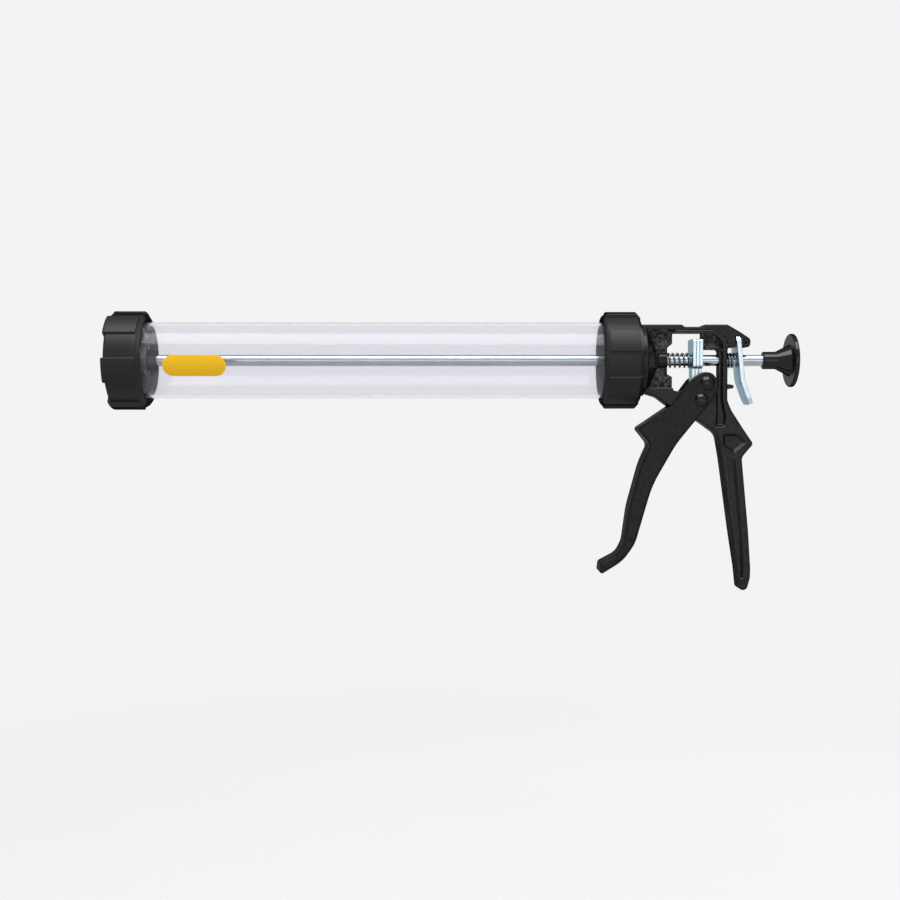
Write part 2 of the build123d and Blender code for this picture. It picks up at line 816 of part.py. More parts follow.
def trigger():
    """Die-cast channel trigger: two cheeks over the frame and a finger grip open at the rear."""

    def on_grip(along, down, radius):
        drop = trigger_shoulder + down * trigger_grip_length
        return (pivot_x + along * trigger_grip_length, pivot_z - drop, radius)

    def on_head(along, up, radius):
        return (pivot_x + along * trigger_shoulder, pivot_z + up * trigger_shoulder, radius)

    head = [
        on_head(-0.424, 0.203, 4.0),
        on_head(-0.225, 0.473, 4.0),
        on_head(0.039, 0.640, 6.0),
        on_head(0.244, 0.611, 6.0),
        on_head(0.383, 0.418, 4.0),
        on_head(0.383, 0.225, 4.0),
        on_head(0.244, -0.019, 10.0),
        on_head(-0.077, -0.395, 40.0),
    ]
    back = [
        on_grip(-0.193, 0.0, 80.0),
        on_grip(-0.374, 0.317, 80.0),
        on_grip(-0.456, 0.6, 80.0),
        on_grip(-0.503, 0.765, 30.0),
        on_grip(-0.597, 0.897, 30.0),
        on_grip(-0.778, 1.01, 1.6),
    ]
    front = [
        on_grip(-0.767, 0.916, 2.4),
        on_grip(-0.632, 0.844, 12.0),
        on_grip(-0.586, 0.756, 16.0),
        on_grip(-0.549, 0.487, 80.0),
        on_grip(-0.455, 0.141, 80.0),
        on_grip(-0.392, 0.003, 5.0),
        on_head(-1.447, -0.643, 2.0),
        on_head(-0.682, -0.125, 0),
    ]
    body = slab(outline(*head, *back, *front), cheek_outer)
    body = rounded_rim(body, cheek_outer, trigger_edge_round)
    wall = inset([corner[:2] for corner in front[1:]], trigger_wall)
    channel = outline(
        *[(x, z, trigger_wall) for x, z in wall[:-1]],
        between(wall[-2], wall[-1], trigger_roof_share),
        between(front[-2], front[-1], trigger_roof_share),
        on_head(-0.868, 0.161, 0),
        on_head(-0.643, 0.836, 0),
        on_head(0.643, 0.836, 0),
        (pivot_x + 0.643 * trigger_shoulder, wall[0][1]),
    )
    crease = outline(
        on_head(-1.029, -0.328, 0),
        on_head(-0.257, -0.701, 0),
        on_head(0.643, -0.701, 0),
        on_head(0.643, 0.836, 0),
        on_head(-1.029, 0.836, 0),
    )
    return body - [
        slab(channel, cheek_inner),
        *sunk(crease, cheek_outer - cheek_step, cheek_outer + cheek_step),
        cross_bar(pivot_x, pivot_z, pivot_pin_d / 2 + fit_clearance, 2 * cheek_outer),
        cross_bar(drive_pin_x, drive_pin_z, drive_pin_d / 2 + fit_clearance, 2 * cheek_outer),
    ]


def lever_front_at(z):
    """Where the release lever's front face stands at a height."""
    slope = lever_lean / lever_straight
    return lever_top_x + (lever_top_z - z) * slope - lever_thickness / 2 * sqrt(1 + slope**2)


def release_lever():
    """Pressed steel lever: hangs in the frame's notch, round the rod, and ends in a thumb tab."""
    bend_x, bend_z = lever_top_x + lever_lean, lever_top_z - lever_straight
    end_x, end_z = bend_x + lever_tab_reach, bend_z - lever_tab_drop
    line = FilletPolyline(
        (lever_top_x, lever_top_z), (bend_x, bend_z), (end_x, end_z), radius=[lever_bend]
    )
    strip = extrude(Plane.XZ * trace(line, line_width=lever_thickness), lever_width / 2, both=True)
    depth = end_x - post_rear + lever_width
    height = lever_top_z - end_z + lever_thickness
    blank = Pos(0, (lever_top_z + end_z) / 2) * RectangleRounded(lever_width, height, lever_corner)
    eye = SlotOverall(rod_d + 3 * lever_hole_clearance, rod_d + 2 * lever_hole_clearance, rotation=90)
    return (strip & extrude(Plane.YZ.offset(post_rear) * blank, depth)) - extrude(
        Plane.YZ.offset(post_rear) * eye, depth
    )


nodes = {
    "front_cap": front_cap(),
    "cap_gasket": cap_gasket(),
    "barrel_tube": barrel_tube(),
    "barrel_label": barrel_label(),
    "rear_collar": rear_collar(),
    "handle_frame": handle_frame(),
    "push_rod": push_rod(),
    "pull_knob": pull_knob(),
    "piston": piston(),
    "piston_seal": piston_seal(),
    "piston_washer": piston_washer(),
    "piston_screw": piston_screw(),
    "piston_nut": piston_nut(),
    "drive_spring": coil(boss_rear, plates_front, drive_spring_turns),
    "trigger": trigger(),
    "trigger_pivot_pin": rivet(pivot_x, pivot_z, pivot_pin_d, pivot_head_d),
    "drive_pin": rivet(drive_pin_x, drive_pin_z, drive_pin_d, drive_head_d),
    "drive_sleeve": drive_sleeve(),
    "release_lever": release_lever(),
    "release_spring": coil(post_rear, lever_front_at(spring_r), release_spring_turns),
}
for number in range(plate_count):
    nodes[f"drive_plate_{number + 1}"] = drive_plate(number)

os.makedirs("parts", exist_ok=True)
for name, solid in nodes.items():
    export_step(solid, f"parts/{name}.step")
    size = solid.bounding_box()
    print(f"{name:18s} volume {solid.volume:10.1f}  x {size.min.X:7.2f} to {size.max.X:7.2f}")
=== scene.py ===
from math import atan2, pi, radians

import bmesh
import bpy
from mathutils import Matrix, Vector


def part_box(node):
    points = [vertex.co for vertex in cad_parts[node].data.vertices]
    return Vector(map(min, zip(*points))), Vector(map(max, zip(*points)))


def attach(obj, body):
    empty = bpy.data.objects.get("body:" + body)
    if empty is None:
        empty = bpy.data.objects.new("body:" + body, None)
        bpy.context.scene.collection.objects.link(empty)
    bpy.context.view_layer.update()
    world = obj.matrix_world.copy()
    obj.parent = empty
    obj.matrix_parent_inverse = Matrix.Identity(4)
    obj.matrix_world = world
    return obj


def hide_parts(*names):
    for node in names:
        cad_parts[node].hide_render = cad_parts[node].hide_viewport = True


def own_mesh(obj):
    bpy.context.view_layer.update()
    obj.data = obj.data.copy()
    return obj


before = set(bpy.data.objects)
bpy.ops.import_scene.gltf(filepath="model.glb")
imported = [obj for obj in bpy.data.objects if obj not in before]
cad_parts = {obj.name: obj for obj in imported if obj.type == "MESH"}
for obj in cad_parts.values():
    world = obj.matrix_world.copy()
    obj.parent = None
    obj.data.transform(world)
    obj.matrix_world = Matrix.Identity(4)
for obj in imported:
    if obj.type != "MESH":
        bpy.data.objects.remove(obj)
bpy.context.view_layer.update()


# Handle frame and trigger
# The frame is one zinc-alloy die casting with the flange, the mechanism window and the grip.
# The trigger is a second casting, hung on two rivets. Both are dipped in black enamel after fettling.

def linear(hex_colour):
    channels = [int(hex_colour[i:i + 2], 16) / 255 for i in (1, 3, 5)]
    return tuple(c / 12.92 if c <= 0.04045 else ((c + 0.055) / 1.055) ** 2.4 for c in channels) + (1.0,)


def node(tree, kind, sockets=None, **settings):
    made = tree.nodes.new(kind)
    for key, value in settings.items():
        setattr(made, key, value)
    for key, value in (sockets or {}).items():
        if isinstance(value, bpy.types.NodeSocket):
            tree.links.new(value, made.inputs[key])
        else:
            made.inputs[key].default_value = value
    return made


def blank_material(name):
    made = bpy.data.materials.new(name)
    made.use_nodes = True
    made.node_tree.nodes.clear()
    return made


def dress(material, *names):
    for name in names:
        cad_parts[name].material_slots[0].material = material


# Black dipping enamel on a die casting: a half-gloss skin with a shallow orange peel, and a paler line
# painted along its edges as a highlight. It runs over the corners and leaves them softly rounded.
def dipped_enamel(name, soft_corner, edge_highlight_tone, polish):
    enamel = blank_material(name)
    tree = enamel.node_tree
    coordinates = node(tree, "ShaderNodeTexCoord")
    place = coordinates.outputs["Object"]

    # The dip dries in broad clouds of slightly different black and gloss.
    cloud_mm = 16
    cloud = node(tree, "ShaderNodeTexNoise", {"Vector": place, "Scale": 1000 / cloud_mm, "Detail": 3.0})
    skin = node(
        tree, "ShaderNodeMix",
        {"Factor": cloud.outputs["Fac"], 6: linear("#09090a"), 7: linear("#101011")}, data_type="RGBA",
    )
    gloss = node(
        tree, "ShaderNodeMapRange",
        {"Value": cloud.outputs["Fac"], "From Min": 0.3, "From Max": 0.7, "To Min": 0.22, "To Max": 0.3},
    )

    # The sunk web keeps the rough skin of the die between its ribs, on the two sides of the casting.
    # Everywhere else only a trace of it is left.
    web_depth = 0.0038
    web_step = 0.0005
    trace = 0.05
    across = node(tree, "ShaderNodeSeparateXYZ", {"Vector": place})
    depth = node(tree, "ShaderNodeMath", {0: across.outputs["Y"]}, operation="ABSOLUTE")
    facing = node(tree, "ShaderNodeSeparateXYZ", {"Vector": coordinates.outputs["Normal"]})
    sideways = node(tree, "ShaderNodeMath", {0: facing.outputs["Y"]}, operation="ABSOLUTE")
    on_side = node(
        tree, "ShaderNodeMapRange",
        {
            "Value": sideways.outputs["Value"], "From Min": 0.7, "From Max": 0.95,
            "To Min": trace, "To Max": 1.0,
        },
    )
    in_web = node(
        tree, "ShaderNodeMapRange",
        {
            "Value": depth.outputs["Value"], "From Min": web_depth, "From Max": web_depth + web_step,
            "To Min": on_side.outputs["Result"], "To Max": trace,
        },
    )
    cast_mm = 2.6
    cast = node(
        tree, "ShaderNodeTexNoise",
        {"Vector": place, "Scale": 1000 / cast_mm, "Detail": 2.0, "Roughness": 0.45},
    )
    # Painted highlight: the crests of the rough skin in the web are painted paler, as glints of light on
    # it.
    crests = node(
        tree, "ShaderNodeMapRange",
        {"Value": cast.outputs["Fac"], "From Min": 0.46, "From Max": 0.62, "To Min": 0.0, "To Max": 1.0},
    )
    painted_crest_highlight = node(
        tree, "ShaderNodeMath",
        {0: crests.outputs["Result"], 1: in_web.outputs["Result"]}, operation="MULTIPLY",
    )
    skin = node(
        tree, "ShaderNodeMix",
        {"Factor": painted_crest_highlight.outputs["Value"], 6: skin.outputs[2], 7: linear("#48484c")}, data_type="RGBA",
    )

    # Along sharp edges a paler tone is painted in as a highlight.
    edge_highlight_width = 0.0008
    edge = node(tree, "ShaderNodeBevel", {"Radius": edge_highlight_width}, samples=6)
    flat = node(tree, "ShaderNodeNewGeometry")
    along = node(
        tree, "ShaderNodeVectorMath",
        {0: edge.outputs["Normal"], 1: flat.outputs["Normal"]}, operation="DOT_PRODUCT",
    )
    painted_edge_highlight = node(
        tree, "ShaderNodeMapRange",
        {"Value": along.outputs["Value"], "From Min": 0.95, "From Max": 0.78, "To Min": 0.0, "To Max": 1.0},
    )
    tone = node(
        tree, "ShaderNodeMix",
        {"Factor": painted_edge_highlight.outputs["Result"], 6: skin.outputs[2], 7: linear(edge_highlight_tone)},
        data_type="RGBA",
    )

    # Relief, from the wide waves of the cast faces to the orange peel and the rough web.
    rounded = node(tree, "ShaderNodeBevel", {"Radius": soft_corner}, samples=8).outputs["Normal"]
    wave_mm = 10
    wave_depth = 0.0012
    wave = node(tree, "ShaderNodeTexNoise", {"Vector": place, "Scale": 1000 / wave_mm, "Detail": 1.0})
    relief = node(
        tree, "ShaderNodeBump",
        {"Height": wave.outputs["Fac"], "Normal": rounded, "Strength": 0.6, "Distance": wave_depth},
    )
    peel_mm = 1.5
    peel_depth = 0.00006
    peel = node(tree, "ShaderNodeTexNoise", {"Vector": place, "Scale": 1000 / peel_mm, "Detail": 2.0})
    relief = node(
        tree, "ShaderNodeBump",
        {
            "Height": peel.outputs["Fac"], "Normal": relief.outputs["Normal"],
            "Strength": 0.5, "Distance": peel_depth,
        },
    )
    cast_depth = 0.0016
    relief = node(
        tree, "ShaderNodeBump",
        {
            "Height": cast.outputs["Fac"], "Normal": relief.outputs["Normal"],
            "Strength": in_web.outputs["Result"], "Distance": cast_depth,
        },
    )

    # Seen edge on, the dipped skin loses nearly all its shine.
    edge_polish = 0.0008
    edge_on = node(tree, "ShaderNodeLayerWeight", {"Blend": 0.5, "Normal": rounded})
    shine = node(
        tree, "ShaderNodeMapRange",
        {
            "Value": edge_on.outputs["Facing"], "From Min": 0.2, "From Max": 0.65,
            "To Min": polish, "To Max": edge_polish,
        },
    )
    shader = node(
        tree, "ShaderNodeBsdfPrincipled",
        {
            "Base Color": tone.outputs[2], "Roughness": gloss.outputs["Result"],
            "Normal": relief.outputs["Normal"], "Specular IOR Level": shine.outputs["Result"], "IOR": 1.5,
        },
    )
    node(tree, "ShaderNodeOutputMaterial", {"Surface": shader.outputs["BSDF"]})
    return enamel


frame_enamel = dipped_enamel(
    "black_enamel_on_frame", soft_corner=0.0012, edge_highlight_tone="#5c5c60", polish=0.17,
)
dress(frame_enamel, "handle_frame")
trigger_enamel = dipped_enamel(
    "black_enamel_on_trigger", soft_corner=0.0028, edge_highlight_tone="#303033", polish=0.12,
)
dress(trigger_enamel, "trigger")


# Rivets
# Two domed steel rivets go through the trigger's cheeks, one as its pivot and one to carry the sleeve.
# They are headed over cold and chemically blackened.

# Black oxide on steel: nearly black, oily, with a clear highlight on the dome and fine heading marks.
oxide = blank_material("black_oxide_steel")
tree = oxide.node_tree
place = node(tree, "ShaderNodeTexCoord").outputs["Object"]
mark_mm = 0.8
mark_depth = 0.00003
mark = node(tree, "ShaderNodeTexNoise", {"Vector": place, "Scale": 1000 / mark_mm, "Detail": 3.0})
tone = node(
    tree, "ShaderNodeMix",
    {"Factor": mark.outputs["Fac"], 6: linear("#262629"), 7: linear("#323236")}, data_type="RGBA",
)
gloss = node(
    tree, "ShaderNodeMapRange",
    {"Value": mark.outputs["Fac"], "From Min": 0.3, "From Max": 0.7, "To Min": 0.16, "To Max": 0.28},
)
relief = node(
    tree, "ShaderNodeBump", {"Height": mark.outputs["Fac"], "Strength": 0.3, "Distance": mark_depth},
)
shader = node(
    tree, "ShaderNodeBsdfPrincipled",
    {
        "Base Color": tone.outputs[2], "Roughness": gloss.outputs["Result"],
        "Normal": relief.outputs["Normal"], "Metallic": 1.0, "Specular Tint": linear("#606064"),
    },
)
node(tree, "ShaderNodeOutputMaterial", {"Surface": shader.outputs["BSDF"]})
dress(oxide, "trigger_pivot_pin", "drive_pin")


# Drive plates, sleeve and release lever
# Three plates pressed from strip grip the rod when the sleeve tips them, and a bent lever lets it go.
# All are steel, barrel plated in zinc and blue passivated.

# Blue passivated zinc on pressed steel: pale metal with a cold blue cast, cloudy in patches,
# with rolling lines left in the strip. The lines are drawn coarser than real ones, to show.
zinc = blank_material("blue_zinc_pressed_steel")
tree = zinc.node_tree
place = node(tree, "ShaderNodeTexCoord").outputs["Object"]
cloud_mm = 6
cloud = node(tree, "ShaderNodeTexNoise", {"Vector": place, "Scale": 1000 / cloud_mm, "Detail": 4.0})
line_mm = 0.9
line_depth = 0.00003
drawn_out = node(tree, "ShaderNodeMapping", {"Vector": place, "Scale": (1.0, 1.0, 0.06)})
lines = node(
    tree, "ShaderNodeTexNoise",
    {"Vector": drawn_out.outputs["Vector"], "Scale": 1000 / line_mm, "Detail": 2.0},
)
tone = node(
    tree, "ShaderNodeMix",
    {"Factor": cloud.outputs["Fac"], 6: linear("#aabdc7"), 7: linear("#d0dce2")}, data_type="RGBA",
)
gloss = node(
    tree, "ShaderNodeMapRange",
    {"Value": lines.outputs["Fac"], "From Min": 0.3, "From Max": 0.7, "To Min": 0.3, "To Max": 0.46},
)
sheared_edge = 0.0008
rounded = node(tree, "ShaderNodeBevel", {"Radius": sheared_edge}, samples=6)
relief = node(
    tree, "ShaderNodeBump",
    {
        "Height": lines.outputs["Fac"], "Normal": rounded.outputs["Normal"],
        "Strength": 0.3, "Distance": line_depth,
    },
)
shader = node(
    tree, "ShaderNodeBsdfPrincipled",
    {
        "Base Color": tone.outputs[2], "Roughness": gloss.outputs["Result"],
        "Normal": relief.outputs["Normal"], "Metallic": 1.0, "Specular Tint": linear("#9fb5c2"),
    },
)
node(tree, "ShaderNodeOutputMaterial", {"Surface": shader.outputs["BSDF"]})
dress(zinc, "drive_plate_1", "drive_plate_2", "drive_plate_3", "drive_sleeve", "release_lever")


# Springs
# Two compression springs wound from the same wire ride on the rod: a long one between the boss and the
# plates, and a short one between the post and the lever. Each wire ends in a half turn wound close.

# Spring wire: drawn steel, oiled, grey and clearly darker than the plated parts. Its drawing marks are
# coarser than real ones, to show.
wire_steel = blank_material("oiled_spring_wire")
tree = wire_steel.node_tree
place = node(tree, "ShaderNodeTexCoord").outputs["Object"]
drawn_mm = 0.7
drawn = node(tree, "ShaderNodeTexNoise", {"Vector": place, "Scale": 1000 / drawn_mm, "Detail": 3.0})
tone = node(
    tree, "ShaderNodeMix",
    {"Factor": drawn.outputs["Fac"], 6: linear("#5a6066"), 7: linear("#787e84")}, data_type="RGBA",
)
gloss = node(
    tree, "ShaderNodeMapRange",
    {"Value": drawn.outputs["Fac"], "From Min": 0.3, "From Max": 0.7, "To Min": 0.2, "To Max": 0.32},
)
shader = node(
    tree, "ShaderNodeBsdfPrincipled",
    {"Base Color": tone.outputs[2], "Roughness": gloss.outputs["Result"], "Metallic": 1.0},
)
node(tree, "ShaderNodeOutputMaterial", {"Surface": shader.outputs["BSDF"]})

wire = 0.0014
mean_radius = 0.00485
close_pitch = 0.002
wire_sides = 18
steps_a_turn = 40


def wind(name, node_name, turns):
    low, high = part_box(node_name)
    start = low.x + wire / 2
    open_pitch = (high.x - low.x - wire - close_pitch) / (turns - 1)
    mesh = bmesh.new()
    lean = Matrix.Rotation(atan2(close_pitch, 2 * pi * mean_radius), 4, "Y")
    ring = bmesh.ops.create_circle(
        mesh, segments=wire_sides, radius=wire / 2,
        matrix=Matrix.Translation((start, mean_radius, 0)) @ lean,
    )["verts"]
    last = ring + list(mesh.edges)
    for part, pitch in ((0.5, close_pitch), (turns - 1, open_pitch), (0.5, close_pitch)):
        steps = round(part * steps_a_turn)
        last = bmesh.ops.spin(
            mesh, geom=last, cent=(start, 0, 0), axis=(1, 0, 0),
            dvec=(pitch * part / steps, 0, 0), angle=2 * pi * part, steps=steps,
        )["geom_last"]
    bmesh.ops.holes_fill(mesh, edges=mesh.edges, sides=wire_sides)
    bmesh.ops.recalc_face_normals(mesh, faces=mesh.faces)
    data = bpy.data.meshes.new(name)
    mesh.to_mesh(data)
    mesh.free()
    # The wire is smooth and its two cut ends are flat.
    for face in data.polygons:
        face.use_smooth = len(face.vertices) == 4
    data.materials.append(wire_steel)
    spring = bpy.data.objects.new(name, data)
    bpy.context.scene.collection.objects.link(spring)
    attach(spring, "frame")
    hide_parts(node_name)
    return spring


long_spring = wind("plate_return_spring", "drive_spring", 5.0)
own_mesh(long_spring)
short_spring = wind("lever_return_spring", "release_spring", 2.5)
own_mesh(short_spring)


# Push rod
# A round steel bar runs the length of the gun and carries the piston in front and the knob behind.
# It is cold drawn and bright zinc plated.

# Bright zinc on drawn bar: pale steel with fine drawing lines along its length, coarser than real ones
# so that they show.
rod_zinc = blank_material("bright_zinc_drawn_bar")
tree = rod_zinc.node_tree
place = node(tree, "ShaderNodeTexCoord").outputs["Object"]
line_mm = 0.7
line_depth = 0.00002
stretched = node(tree, "ShaderNodeMapping", {"Vector": place, "Scale": (0.02, 1.0, 1.0)})
lines = node(
    tree, "ShaderNodeTexNoise",
    {"Vector": stretched.outputs["Vector"], "Scale": 1000 / line_mm, "Detail": 3.0},
)
cloud_mm = 9
cloud = node(tree, "ShaderNodeTexNoise", {"Vector": place, "Scale": 1000 / cloud_mm, "Detail": 3.0})
tone = node(
    tree, "ShaderNodeMix",
    {"Factor": cloud.outputs["Fac"], 6: linear("#8f979f"), 7: linear("#a7afb5")}, data_type="RGBA",
)
gloss = node(
    tree, "ShaderNodeMapRange",
    {"Value": lines.outputs["Fac"], "From Min": 0.3, "From Max": 0.7, "To Min": 0.12, "To Max": 0.24},
)
relief = node(
    tree, "ShaderNodeBump", {"Height": lines.outputs["Fac"], "Strength": 0.25, "Distance": line_depth},
)
shader = node(
    tree, "ShaderNodeBsdfPrincipled",
    {
        "Base Color": tone.outputs[2], "Roughness": gloss.outputs["Result"],
        "Normal": relief.outputs["Normal"], "Metallic": 1.0,
    },
)
node(tree, "ShaderNodeOutputMaterial", {"Surface": shader.outputs["BSDF"]})
dress(rod_zinc, "push_rod", "piston_washer", "piston_screw")
dress(oxide, "piston_nut")


# Piston
# A cup moulded in dark grey polypropylene pushes the sausage, with a rubber ring in its groove.
# The rod's screw, washer and nut clamp its hub.

# Polypropylene: soft, slightly waxy grey plastic with faint flow marks.
polypropylene = blank_material("grey_polypropylene")
tree = polypropylene.node_tree
place = node(tree, "ShaderNodeTexCoord").outputs["Object"]
flow_mm = 5
flow_depth = 0.00008
flow = node(tree, "ShaderNodeTexNoise", {"Vector": place, "Scale": 1000 / flow_mm, "Detail": 3.0})
tone = node(
    tree, "ShaderNodeMix",
    {"Factor": flow.outputs["Fac"], 6: linear("#2f2e36"), 7: linear("#3e3d46")}, data_type="RGBA",
)
relief = node(
    tree, "ShaderNodeBump", {"Height": flow.outputs["Fac"], "Strength": 0.3, "Distance": flow_depth},
)
shader = node(
    tree, "ShaderNodeBsdfPrincipled",
    {
        "Base Color": tone.outputs[2], "Normal": relief.outputs["Normal"],
        "Roughness": 0.42, "IOR": 1.49,
    },
)
node(tree, "ShaderNodeOutputMaterial", {"Surface": shader.outputs["BSDF"]})
dress(polypropylene, "piston")

# Nitrile rubber: dull black with a dusty bloom. The cap's gasket is cut from the same rubber.
rubber = blank_material("nitrile_rubber")
tree = rubber.node_tree
place = node(tree, "ShaderNodeTexCoord").outputs["Object"]
bloom_mm = 3
bloom_depth = 0.00008
bloom = node(tree, "ShaderNodeTexNoise", {"Vector": place, "Scale": 1000 / bloom_mm, "Detail": 4.0})
tone = node(
    tree, "ShaderNodeMix",
    {"Factor": bloom.outputs["Fac"], 6: linear("#171718"), 7: linear("#29292b")}, data_type="RGBA",
)
relief = node(
    tree, "ShaderNodeBump", {"Height": bloom.outputs["Fac"], "Strength": 0.4, "Distance": bloom_depth},
)
shader = node(
    tree, "ShaderNodeBsdfPrincipled",
    {
        "Base Color": tone.outputs[2], "Normal": relief.outputs["Normal"],
        "Roughness": 0.68, "IOR": 1.52,
    },
)
node(tree, "ShaderNodeOutputMaterial", {"Surface": shader.outputs["BSDF"]})
dress(rubber, "piston_seal", "cap_gasket")


# Pull knob
# The knob on the rod's rear end is moulded in black phenolic, with a thin disc for two fingers.
# It is pressed on and polished.

# Polished black phenolic: deep black with a sharp highlight. The disc's faces keep the fine grain of the
# mould and show a pale sheen at a low angle.
phenolic = blank_material("polished_black_phenolic")
tree = phenolic.node_tree
coordinates = node(tree, "ShaderNodeTexCoord")
place = coordinates.outputs["Object"]
haze_mm = 7
haze = node(tree, "ShaderNodeTexNoise", {"Vector": place, "Scale": 1000 / haze_mm, "Detail": 3.0})
tone = node(
    tree, "ShaderNodeMix",
    {"Factor": haze.outputs["Fac"], 6: linear("#070708"), 7: linear("#0e0e0f")}, data_type="RGBA",
)
gloss = node(
    tree, "ShaderNodeMapRange",
    {"Value": haze.outputs["Fac"], "From Min": 0.3, "From Max": 0.7, "To Min": 0.06, "To Max": 0.12},
)
facing = node(tree, "ShaderNodeSeparateXYZ", {"Vector": coordinates.outputs["Normal"]})
endways = node(tree, "ShaderNodeMath", {0: facing.outputs["X"]}, operation="ABSOLUTE")
disc_face = node(
    tree, "ShaderNodeMapRange",
    {"Value": endways.outputs["Value"], "From Min": 0.9, "From Max": 0.98, "To Min": 0.0, "To Max": 1.0},
)
disc_roughness = 0.4
grained = node(
    tree, "ShaderNodeMix",
    {"Factor": disc_face.outputs["Result"], "A": gloss.outputs["Result"], "B": disc_roughness},
    data_type="FLOAT",
)
edge_on = node(tree, "ShaderNodeLayerWeight", {"Blend": 0.5})
polish = node(
    tree, "ShaderNodeMapRange",
    {"Value": edge_on.outputs["Facing"], "From Min": 0.2, "From Max": 0.6, "To Min": 0.22, "To Max": 0.0},
)
disc_sheen = 0.1
shine = node(
    tree, "ShaderNodeMix",
    {"Factor": disc_face.outputs["Result"], "A": polish.outputs["Result"], "B": disc_sheen},
    data_type="FLOAT",
)
shader = node(
    tree, "ShaderNodeBsdfPrincipled",
    {
        "Base Color": tone.outputs[2], "Roughness": grained.outputs["Result"],
        "Specular IOR Level": shine.outputs["Result"], "IOR": 1.55,
    },
)
node(tree, "ShaderNodeOutputMaterial", {"Surface": shader.outputs["BSDF"]})
dress(phenolic, "pull_knob")


# Barrel tube
# The barrel is a clear polycarbonate tube, extruded and cut to length.
# It is held between the cap and the collar, which screw onto its ends.

# Clear polycarbonate: water clear with a faint lilac cast and shallow extrusion lines. It bends light less
# than the solid plastic does, which matches the thin wall to the eye.
clear = blank_material("clear_polycarbonate")
tree = clear.node_tree
place = node(tree, "ShaderNodeTexCoord").outputs["Object"]
line_mm = 6
stretched = node(tree, "ShaderNodeMapping", {"Vector": place, "Scale": (0.01, 1.0, 1.0)})
lines = node(
    tree, "ShaderNodeTexNoise",
    {"Vector": stretched.outputs["Vector"], "Scale": 1000 / line_mm, "Detail": 2.0},
)
gloss = node(
    tree, "ShaderNodeMapRange",
    {"Value": lines.outputs["Fac"], "From Min": 0.3, "From Max": 0.7, "To Min": 0.02, "To Max": 0.05},
)
shader = node(
    tree, "ShaderNodeBsdfPrincipled",
    {
        "Roughness": gloss.outputs["Result"],
        "Base Color": linear("#f0f0f4"), "IOR": 1.2, "Transmission Weight": 0.982,
    },
)
# Light passes straight through to what lies inside and behind, so the tube throws only a faint shadow.
path = node(tree, "ShaderNodeLightPath")
passing = node(tree, "ShaderNodeBsdfTransparent", {"Color": linear("#f4f4f6")})
through = node(
    tree, "ShaderNodeMixShader",
    {0: path.outputs["Is Shadow Ray"], 1: shader.outputs["BSDF"], 2: passing.outputs["BSDF"]},
)
node(tree, "ShaderNodeOutputMaterial", {"Surface": through.outputs["Shader"]})
dress(clear, "barrel_tube")


# Label
# The label is die cut from yellow vinyl film, with round ends.
# It is stuck to the outside of the tube behind the cap.

# Vinyl film: even warm yellow, slightly satin, with a fine grain that is drawn coarser than the real one.
film = blank_material("yellow_vinyl_film")
tree = film.node_tree
place = node(tree, "ShaderNodeTexCoord").outputs["Object"]
grain_mm = 0.9
grain_depth = 0.00003
grain = node(tree, "ShaderNodeTexNoise", {"Vector": place, "Scale": 1000 / grain_mm, "Detail": 2.0})
tone = node(
    tree, "ShaderNodeMix",
    {"Factor": grain.outputs["Fac"], 6: linear("#d0a104"), 7: linear("#dcad08")}, data_type="RGBA",
)
relief = node(
    tree, "ShaderNodeBump", {"Height": grain.outputs["Fac"], "Strength": 0.2, "Distance": grain_depth},
)
shader = node(
    tree, "ShaderNodeBsdfPrincipled",
    {
        "Base Color": tone.outputs[2], "Normal": relief.outputs["Normal"],
        "Roughness": 0.45, "IOR": 1.34,
    },
)
node(tree, "ShaderNodeOutputMaterial", {"Surface": shader.outputs["BSDF"]})
dress(film, "barrel_label")


# Front cap and rear collar
# Two screw rings close the barrel: the cap in front holds the nozzle, and the collar clamps the flange.
# Both are moulded in black nylon with six grip pads.

# Glass-filled nylon: dark grey black, evenly matt from a spark-eroded mould, with a paler line painted
# along moulded edges as a highlight.
# The mould's grain is drawn coarser than the real one, to show.
nylon = blank_material("black_glass_filled_nylon")
tree = nylon.node_tree
place = node(tree, "ShaderNodeTexCoord").outputs["Object"]
grain_mm = 0.8
grain_depth = 0.00005
grain = node(tree, "ShaderNodeTexNoise", {"Vector": place, "Scale": 1000 / grain_mm, "Detail": 2.0})
cloud_mm = 18
cloud = node(tree, "ShaderNodeTexNoise", {"Vector": place, "Scale": 1000 / cloud_mm, "Detail": 3.0})
tone = node(
    tree, "ShaderNodeMix",
    {"Factor": cloud.outputs["Fac"], 6: linear("#0f0f10"), 7: linear("#161617")}, data_type="RGBA",
)
gloss = node(
    tree, "ShaderNodeMapRange",
    {"Value": grain.outputs["Fac"], "From Min": 0.3, "From Max": 0.7, "To Min": 0.4, "To Max": 0.52},
)
edge_width = 0.0006
rounded = node(tree, "ShaderNodeBevel", {"Radius": edge_width}, samples=6)
relief = node(
    tree, "ShaderNodeBump",
    {
        "Height": grain.outputs["Fac"], "Normal": rounded.outputs["Normal"],
        "Strength": 0.4, "Distance": grain_depth,
    },
)
flat = node(tree, "ShaderNodeNewGeometry")
# Painted highlight: a paler tone along the moulded edges.
along = node(
    tree, "ShaderNodeVectorMath",
    {0: rounded.outputs["Normal"], 1: flat.outputs["Normal"]}, operation="DOT_PRODUCT",
)
nylon_edge_highlight = node(
    tree, "ShaderNodeMapRange",
    {"Value": along.outputs["Value"], "From Min": 0.99, "From Max": 0.85, "To Min": 0.0, "To Max": 1.0},
)
tone = node(
    tree, "ShaderNodeMix",
    {"Factor": nylon_edge_highlight.outputs["Result"], 6: tone.outputs[2], 7: linear("#404043")}, data_type="RGBA",
)
edge_on = node(tree, "ShaderNodeLayerWeight", {"Blend": 0.5})
shine = node(
    tree, "ShaderNodeMapRange",
    {"Value": edge_on.outputs["Facing"], "From Min": 0.25, "From Max": 0.7, "To Min": 0.2, "To Max": 0.0},
)
